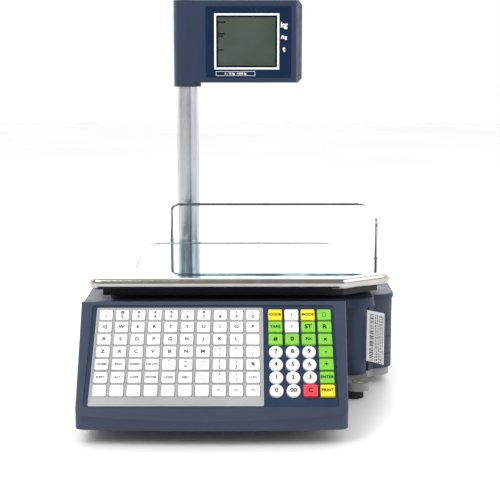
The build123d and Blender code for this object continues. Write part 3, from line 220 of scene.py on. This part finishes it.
def circuit_board(name, top=None):
    """Green board with pale traces. Whatever stands above top, in metres, is dark plastic."""
    s = Shader(name)
    cells = s.add(
        "ShaderNodeTexVoronoi", Scale=170.0, distance="CHEBYCHEV", feature="DISTANCE_TO_EDGE",
    )
    s.join(s.place, cells.inputs["Vector"])
    traces = s.spread(cells.outputs["Distance"], 1, 0, 0.0, 0.09)
    tone = s.blend(traces, (0.01, 0.10, 0.045), (0.05, 0.26, 0.10))
    if top is not None:
        height = s.add("ShaderNodeSeparateXYZ")
        s.join(s.place, height.inputs["Vector"])
        above = s.add("ShaderNodeMath", operation="GREATER_THAN")
        s.join(height.outputs["Z"], above.inputs[0])
        above.inputs[1].default_value = top
        tone = s.blend(above.outputs[0], tone, (0.02, 0.02, 0.022))
    s.join(tone, s.bsdf.inputs["Base Color"])
    s.set(Roughness=0.35, Coat_Weight=0.4)
    s.relief(traces, 0.3, 0.0001, 0)
    return s.material


def paper(name):
    """Label stock: short fibres, a slight mottling and a painted glow: emission that brightens it as extra
    light would.
    """
    s = Shader(name)
    fibres = s.noise(2600, 4, (1, 1, 0.3))
    tone = s.blend(s.spread(fibres, 0, 1), (0.80, 0.80, 0.77), (0.90, 0.90, 0.88))
    s.join(tone, s.bsdf.inputs["Base Color"])
    s.join(s.spread(s.noise(300, 3), 0.55, 0.75), s.bsdf.inputs["Roughness"])
    s.relief(fibres, 0.2, 0.00004, 0)
    # painted light: the label glows with emission so that it reads brighter than the lamps alone make it
    s.set(Emission_Color=(1.0, 1.0, 1.0, 1.0), Emission_Strength=0.45)
    return s.material


def roll_paper(name):
    """Wound label stock: the layers show as rings on its ends."""
    s = Shader(name)
    rings = s.add(
        "ShaderNodeTexWave", wave_type="RINGS", rings_direction="Z", Scale=180.0, Distortion=0.4,
    )
    shift = s.add("ShaderNodeMapping", Location=(-0.146, -0.062, 0))
    s.join(s.place, shift.inputs["Vector"])
    s.join(shift.outputs["Vector"], rings.inputs["Vector"])
    tone = s.blend(rings.outputs["Fac"], (0.68, 0.66, 0.62), (0.86, 0.85, 0.82))
    s.join(tone, s.bsdf.inputs["Base Color"])
    s.set(Roughness=0.7)
    s.relief(rings.outputs["Fac"], 0.2, 0.0001, 0)
    return s.material


def lcd_glass(name):
    """Unlit liquid crystal panel, grey green and slightly uneven."""
    s = Shader(name)
    s.mottle(12, 3, (0.044, 0.062, 0.046), (0.068, 0.086, 0.068))
    s.join(s.spread(s.noise(80, 3), 0.16, 0.24), s.bsdf.inputs["Roughness"])
    s.set(Coat_Weight=0.3, Coat_Roughness=0.1)
    s.relief(s.noise(1800, 2), 0.05, 0.00003, 0)
    return s.material


def level_fluid(name):
    """Tinted fluid of the spirit level."""
    s = Shader(name)
    s.mottle(120, 2, (0.55, 0.75, 0.25), (0.70, 0.85, 0.40))
    s.set(Roughness=0.06, Transmission_Weight=0.5, IOR=1.4, Coat_Weight=0.6)
    s.relief(s.noise(200, 2), 0.05, 0.00003)
    return s.material


NAVY = (0.019, 0.030, 0.062)
housing_navy = plastic("housing_navy", NAVY, 0.48)
console_navy = plastic("console_navy", (0.030, 0.040, 0.072), 0.45)
door_slate = plastic("door_slate", (0.030, 0.038, 0.064), 0.5)
fascia_blue = plastic("fascia_blue", (0.012, 0.028, 0.062), 0.38, 2400, 0.12)
frame_grey = plastic("frame_grey", (0.36, 0.36, 0.36), 0.40, 2200, 0.15)
key_white = plastic("key_white", (0.88, 0.88, 0.88), 0.28, 2600, 0.06, 0.3, 0.0003)
key_green = plastic("key_green", (0.20, 0.55, 0.045), 0.28, 2600, 0.06, 0.3, 0.0003)
key_yellow = plastic("key_yellow", (0.92, 0.68, 0.02), 0.28, 2600, 0.06, 0.3, 0.0003)
key_red = plastic("key_red", (0.85, 0.055, 0.075), 0.28, 2600, 0.06, 0.3, 0.0003)
black_plastic = plastic("black_plastic", (0.018, 0.018, 0.022), 0.38)
black_rubber = plastic("black_rubber", (0.022, 0.022, 0.024), 0.75, 900, 0.45)
gear_cream = plastic("gear_cream", (0.72, 0.68, 0.55), 0.40)
window_navy = plastic("window_navy", (0.002, 0.013, 0.040), 0.2, 2600, 0.03, 0.1)
ink_white = plastic("ink_white", (0.85, 0.88, 0.90), 0.5, 2600, 0.05, 0, 0, 0.05)
ink_black = plastic("ink_black", (0.004, 0.004, 0.006), 0.5, 2600, 0.05, 0, 0, 0.05)
ink_grey = plastic("ink_grey", (0.010, 0.010, 0.012), 0.5, 2600, 0.05, 0, 0, 0.05)
cast_grey = plastic("cast_grey", (0.22, 0.225, 0.23), 0.5, 1300, 0.6)
column_silver = metal("column_silver", (0.56, 0.575, 0.59), 0.32, (1, 1, 0.02), 1500, 0.2)
wire_steel = metal("wire_steel", (0.36, 0.35, 0.34), 0.12, (1, 1, 1), 600, 0.05)
zinc = metal("zinc", (0.62, 0.62, 0.60), 0.35)
alloy = metal("machined_alloy", (0.7, 0.7, 0.7))
board_green = circuit_board("board_green")
MATERIALS = {
    "main_housing": housing_navy, "top_cover": housing_navy, "printer_front_cover": housing_navy,
    "printer_door": door_slate, "display_front_housing": housing_navy, "column_collar": housing_navy,
    "display_rear_housing": housing_navy, "console_housing": console_navy, "console_base": console_navy,
    "keypad_fascia": fascia_blue, "preset_frame": frame_grey, "digit_and_arrow_keys": key_white,
    "function_keys": key_green, "mode_keys": key_yellow, "print_key": key_yellow, "clear_key": key_red,
    # pan_carrier is black partly for its own black paint and partly as painted shade filling the shadowed
    # gap under the pan
    "base_casting": cast_grey, "pan_carrier": black_plastic, "load_cell": alloy,
    "weighing_pan": pan_steel(), "guard_rail": wire_steel, "column": column_silver, "housing_screws": zinc,
    "load_cell_bolts": zinc, "rail_nuts": zinc, "door_hinge_pin": zinc, "feed_motor": zinc,
    "carrier_pads": black_rubber, "platen_roller": black_rubber, "key_mat": black_rubber,
    "printer_frame": black_plastic, "print_head": black_plastic, "release_button": black_plastic,
    "power_inlet": black_plastic, "power_switch": black_plastic, "swivel_bushes": black_plastic,
    "platen_gear": gear_cream, "idler_gear": gear_cream, "motor_pinion": gear_cream,
    "spirit_level": level_fluid("level_fluid"), "operator_window": window_navy,
    "customer_window": window_navy, "lcd_panels": lcd_glass("lcd_glass"),
    "label_roll": roll_paper("roll_paper"), "printed_label": paper("label_paper"),
}
for node_name, material_name in (("main_board", "main_board_green"), ("power_supply", "supply_green")):
    board_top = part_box(node_name)[0].z + BOARD_THICK * MM
    MATERIALS[node_name] = circuit_board(material_name, board_top)
for node_name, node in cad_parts.items():
    if node_name.endswith("_foot"):
        chosen = black_rubber
    elif node_name.startswith("preset_keys"):
        chosen = key_white
    else:
        chosen = MATERIALS.get(node_name, board_green)
    if node.material_slots:
        for material_slot in node.material_slots:
            material_slot.material = chosen
    else:
        node.data.materials.append(chosen)


# ------------------------------------------------------------- printed and added pieces
CAPITAL = 0.7                        # height of a capital, as a share of the font's size
BOLDER = 0.06                        # swells the strokes, as a share of the capital height


def add_text(builder, words, height, matrix):
    """Adds words as thin solid letters, centred on the matrix, with that capital height in mm."""
    curve = bpy.data.curves.new("words", "FONT")
    curve.body = words
    curve.size = height * MM / CAPITAL
    curve.space_character = 1.05
    curve.align_x = "CENTER"
    curve.align_y = "CENTER"
    curve.extrude = INK * MM / 2
    curve.resolution_u = 3
    curve.offset = height * MM * BOLDER
    holder = bpy.data.objects.new("words", curve)
    bpy.context.scene.collection.objects.link(holder)
    bpy.context.view_layer.update()
    solid = holder.evaluated_get(bpy.context.evaluated_depsgraph_get())
    mesh = bpy.data.meshes.new_from_object(solid)
    mesh.transform(matrix)
    builder.from_mesh(mesh)
    bpy.data.objects.remove(holder)
    bpy.data.meshes.remove(mesh)


def add_block(builder, matrix, x0, x1, y0, y1, low=-INK / 2, high=INK / 2):
    """Adds a closed block, given in mm on the matrix's plane."""
    corners = ((x0, y0), (x1, y0), (x1, y1), (x0, y1))
    points = [(x, y, z) for z in (low, high) for x, y in corners]
    verts = [builder.verts.new(matrix @ (Vector(point) * MM)) for point in points]
    builder.faces.new(verts[3::-1])
    builder.faces.new(verts[4:])
    for index in range(4):
        after = (index + 1) % 4
        builder.faces.new((verts[index], verts[after], verts[after + 4], verts[index + 4]))


def add_ring(builder, matrix, width, height, line):
    """Adds a rectangular outline drawn with that line width, centred on the matrix."""
    x, y = width / 2, height / 2
    add_block(builder, matrix, -x, x, y - line, y)
    add_block(builder, matrix, -x, x, -y, -y + line)
    add_block(builder, matrix, -x, -x + line, -y + line, y - line)
    add_block(builder, matrix, x - line, x, -y + line, y - line)


def add_arrow(builder, matrix, way):
    """Adds a small arrow that points along way, plus or minus 1, in the matrix's Y direction."""
    tip = [(-1.3, 0), (1.3, 0), (0, 2.2 * way)]
    top = [builder.verts.new(matrix @ (Vector((x, y, INK / 2)) * MM)) for x, y in tip]
    bottom = [builder.verts.new(matrix @ (Vector((x, y, -INK / 2)) * MM)) for x, y in tip]
    builder.faces.new(top)
    builder.faces.new(list(reversed(bottom)))
    for index in range(3):
        after = (index + 1) % 3
        builder.faces.new((top[index], bottom[index], bottom[after], top[after]))
    low, high = sorted((-2.4 * way, -0.05 * way))
    add_block(builder, matrix, -0.3, 0.3, low, high)


def piece(name, builder, material, body):
    """Turns a bmesh into a named piece that rides on a body."""
    bmesh.ops.recalc_face_normals(builder, faces=builder.faces)
    mesh = bpy.data.meshes.new(name)
    builder.to_mesh(mesh)
    builder.free()
    mesh.materials.append(material)
    made = bpy.data.objects.new(name, mesh)
    bpy.context.scene.collection.objects.link(made)
    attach(made, body)


def key_matrix(x, row, shift=0.0):
    """Matrix on a key's top, moved up the slope by shift."""
    outward = FACE_ALONG.cross(FACE_UP)
    across = FACE_ALONG * x - FACE_UP * (KEY_PITCH_T * row - shift)
    return plane_matrix(FACE_ORIGIN + across + outward * CAP_TOP, FACE_ALONG, FACE_UP)


def pad_matrix(column, row):
    """Matrix on a key of the number pad."""
    return key_matrix(FIRST_PAD_X + KEY_PITCH_X * column, row)


# one word for each key of a preset row; "." is a blank key, and a sign pair goes above one another
PRESET_LEGENDS = (
    "/1 @2 #3 $4 %5 ^6 &7 *8 (9 )0",
    "Q W E R T Y U I O P",
    "A S D F G H J K L :;",
    "Z X C V B N M <, >. ?/",
    "HOME END INSERT DELETE \"' += ~` {[ }] %",
    "SHIFT ALT CAPS ENTER CHAR ABC _- +- |! LOG",
    ". . . . . . . F1 F3 F2",
)
UPPER_SIGN, LOWER_SIGN, LETTER, WORD = 3.2, 3.8, 4.4, 2.7    # capital heights on the preset keys


def preset_legends(row, line):
    """The dark legends of one row of preset keys, as a piece on that row."""
    builder = bmesh.new()
    for column, legend in enumerate(line.split()):
        x = FIRST_PRESET_X + KEY_PITCH_X * column
        if legend == ".":
            continue
        if len(legend) == 2 and not legend[0].isalnum():
            add_text(builder, legend[0], UPPER_SIGN, key_matrix(x, row, 3.4))
            add_text(builder, legend[1], LOWER_SIGN, key_matrix(x, row, -3.0))
        else:
            height = LETTER if len(legend) == 1 else WORD
            add_text(builder, legend, height, key_matrix(x, row))
    body = f"preset_keys_row_{row + 1}_body"
    piece(f"preset_legends_{row + 1}", builder, ink_grey, body)


# for each group of the number pad, the legend at each (row, column)
PAD_LEGENDS = {
    "mode_keys": {(0, 0): "CODE", (0, 2): "MODE"},
    "function_keys": {
        (1, 0): "TARE", (1, 2): "ST", (1, 3): "R", (2, 0): "#", (2, 1): "0", (2, 2): "FIX", (2, 3): "x",
        (3, 3): "-", (4, 3): "+", (5, 3): "ENTER",
    },
    "digit_and_arrow_keys": {
        (3, 0): "7", (3, 1): "8", (3, 2): "9", (4, 0): "4", (4, 1): "5", (4, 2): "6",
        (5, 0): "1", (5, 1): "2", (5, 2): "3", (6, 0): "0", (6, 1): "00",
    },
    "clear_key": {(6, 2): "C"},
    "print_key": {(6, 3): "PRINT"},
}
PAD_LETTER, PAD_WORD = 5.2, 3.4


def pad_legends(group, legends):
    """The legends of one group of pad keys, as a piece on that group."""
    builder = bmesh.new()
    for (row, column), legend in legends.items():
        height = PAD_LETTER if len(legend) < 3 else PAD_WORD
        add_text(builder, legend, height, pad_matrix(column, row))
    ink = ink_black
    if group == "digit_and_arrow_keys":
        ink = ink_grey
        for row, way in ((0, -1), (1, 1)):
            add_arrow(builder, pad_matrix(1, row), way)
    if group == "function_keys":
        add_ring(builder, pad_matrix(3, 0), 4, 6, 0.5)
    piece(f"{group}_legends", builder, ink, f"{group}_body")


def window_prints(whites, at, sign):
    """The white frame, units and capacity line of one window; sign is 1 on the operator's side."""
    add_ring(whites, at(0, 0), 92.5, 78.5, 2.7)
    for word, size, rise in (("kg", 7, 23), ("/kg", 4.6, 6), ("t", 7, -11)):
        add_text(whites, word, size, at(sign * 53.0, rise))
    capacity = at(-sign * 16, -45.2)
    add_ring(whites, capacity, 56, 6.4, 0.45)
    add_text(whites, "0 - 15 kg   0.005 kg", 2.6, capacity)


def panel_marks(darks, at):
    """The dark border of one panel, and its four short rows of marks."""
    border_sink, mark_sink = 1.55, 1.58
    gap, half_height = 0.5, 1.2
    for rise, width in ((27, 11), (11, 10), (7.5, 8), (-12, 8)):
        for step in range(4):
            start = -41 + step * width / 4
            end = start + width / 4 - gap
            add_block(darks, at(0, rise, mark_sink), start, end, -half_height, half_height)
    add_ring(darks, at(0, 0, border_sink), 85, 71, 1.6)


def display_prints():
    """White prints on both windows, and the dark marks on both panels."""
    whites, darks = bmesh.new(), bmesh.new()
    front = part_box("operator_window")[0].y / MM
    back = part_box("customer_window")[1].y / MM
    for face_y, sign in ((front, 1), (back, -1)):

        def at(x, z, sink=0.0):
            place = Vector((LCD_X + x, face_y + sign * sink, LCD_Z + z))
            return plane_matrix(place, Vector((sign, 0, 0)), Vector((0, 0, 1)))

        window_prints(whites, at, sign)
        panel_marks(darks, at)
    piece("window_prints", whites, ink_white, "display_head")
    piece("panel_marks", darks, ink_black, "display_head")


def label_print():
    """Generic print on the label that hangs out of the printer: five lines of bars, then a bar code."""
    builder = bmesh.new()
    face = plane_matrix(LABEL_ORIGIN + LABEL_PROUD, Vector((0, 0, -1)), LABEL_ALONG)
    margin, line_pitch, line_height = 1.5, 2.9, 1.5
    for line in range(5):
        x = -LABEL_HIGH
        top = LABEL_OUT - margin - line_pitch * line
        while x < -LABEL_LOW:
            length = random.uniform(1.2, 3.4)
            add_block(builder, face, x, x + length, top - line_height, top)
            x += length + random.uniform(0.7, 1.3)
    x = -LABEL_HIGH
    while x < -LABEL_LOW:
        width = random.choice((0.5, 0.9, 1.4))
        add_block(builder, face, x, x + width, LABEL_SLOT + 1, LABEL_SLOT + 8)
        x += width + random.choice((0.5, 0.9, 1.2))
    piece("label_print", builder, ink_grey, "label")


def port_contacts():
    """Metal liners and contacts in the rear ports."""
    builder = bmesh.new()
    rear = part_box("main_board")[1].y / MM
    pitch, wide = 1.05, 0.5
    for x in PORTS_X:
        face = plane_matrix(Vector((x, rear, PORTS_Z)), Vector((-1, 0, 0)), Vector((0, 0, 1)))
        add_ring(builder, face, 13.4, 11.8, 1.0)
        for contact in range(8):
            start = -4 + contact * pitch
            add_block(builder, face, start, start + wide, 1.5, 4)
    piece("port_contacts", builder, zinc, "root")


for preset_row, preset_line in enumerate(PRESET_LEGENDS):
    preset_legends(preset_row, preset_line)
for pad_group, group_legends in PAD_LEGENDS.items():
    pad_legends(pad_group, group_legends)
display_prints()
label_print()
port_contacts()


# ------------------------------------------------------------- floor, light and camera
FLOOR_GAP = 0.0002                   # metres of air under the feet
CAMERA_PLACE = Vector((6.8, -1394.95, 418.5))
CAMERA_PITCH, CAMERA_YAW = 9.37, -0.156      # degrees, downward and to the right


def studio_floor():
    """A pale floor, wide enough to run out of view."""
    mesh = bpy.data.meshes.new("studio_floor")
    builder = bmesh.new()
    bmesh.ops.create_grid(builder, x_segments=1, y_segments=1, size=6)
    builder.to_mesh(mesh)
    builder.free()
    s = Shader("studio_floor")
    s.mottle(1.2, 3, (0.86, 0.86, 0.87), (0.90, 0.90, 0.90))
    s.set(Roughness=0.55)
    mesh.materials.append(s.material)
    floor = bpy.data.objects.new("studio_floor", mesh)
    floor.location.z = cad_box[0][2] - FLOOR_GAP
    bpy.context.scene.collection.objects.link(floor)


def area_light(name, place, target, size, power):
    """A soft square light aimed at a point, all in metres and watts."""
    data = bpy.data.lights.new(name, "AREA")
    data.size = size
    data.energy = power
    lamp = bpy.data.objects.new(name, data)
    lamp.location = place
    lamp.rotation_euler = (Vector(target) - Vector(place)).to_track_quat("-Z", "Y").to_euler()
    bpy.context.scene.collection.objects.link(lamp)


def studio_world():
    """Near-white surroundings, dimmer on the operator's side so that metal has something dark to show."""
    world = bpy.data.worlds.new("studio")
    bpy.context.scene.world = world
    world.use_nodes = True
    add, join = world.node_tree.nodes.new, world.node_tree.links.new
    split = add("ShaderNodeSeparateXYZ")
    join(add("ShaderNodeTexCoord").outputs["Generated"], split.inputs["Vector"])
    ambient, gleam = add("ShaderNodeMapRange"), add("ShaderNodeMapRange")
    map_range(ambient, -0.6, 0.5, 0.45, 1.25)
    map_range(gleam, -0.2, 0.5, 0.35, 2.1)
    for ramp in (ambient, gleam):
        join(split.outputs["Y"], ramp.inputs["Value"])
    rays = add("ShaderNodeLightPath")
    for_gloss, for_camera = add("ShaderNodeMix"), add("ShaderNodeMix")
    for choice, ray in ((for_gloss, "Is Glossy Ray"), (for_camera, "Is Camera Ray")):
        choice.data_type = "FLOAT"
        join(rays.outputs[ray], choice.inputs[0])
    join(ambient.outputs["Result"], for_gloss.inputs[2])
    join(gleam.outputs["Result"], for_gloss.inputs[3])
    join(for_gloss.outputs[0], for_camera.inputs[2])
    for_camera.inputs[3].default_value = 1.0
    background = world.node_tree.nodes["Background"]
    background.inputs["Color"].default_value = (1, 1, 1, 1)
    join(for_camera.outputs[0], background.inputs["Strength"])


def photo_camera():
    """Camera in front of the keyboard, a little above it, looking slightly down."""
    data = bpy.data.cameras.new("camera")
    data.sensor_width = 36
    data.lens = 79.2
    camera = bpy.data.objects.new("camera", data)
    camera.location = CAMERA_PLACE * MM
    camera.rotation_euler = (math.radians(90 - CAMERA_PITCH), 0, math.radians(CAMERA_YAW))
    bpy.context.scene.collection.objects.link(camera)
    bpy.context.scene.camera = camera


bpy.context.scene.view_settings.view_transform = "Standard"
studio_floor()
area_light("key_light", (-1.4, -1.46, 2.1), (0, 0.04, 0.15), 1.6, 48)
area_light("fill_light", (1.8, -0.96, 1.3), (0, 0.04, 0.2), 1.8, 22)
area_light("back_light", (0.2, 1.84, 1.6), (0, 0.14, 0.3), 1.6, 26)
studio_world()
photo_camera()

bpy.context.view_layer.update()
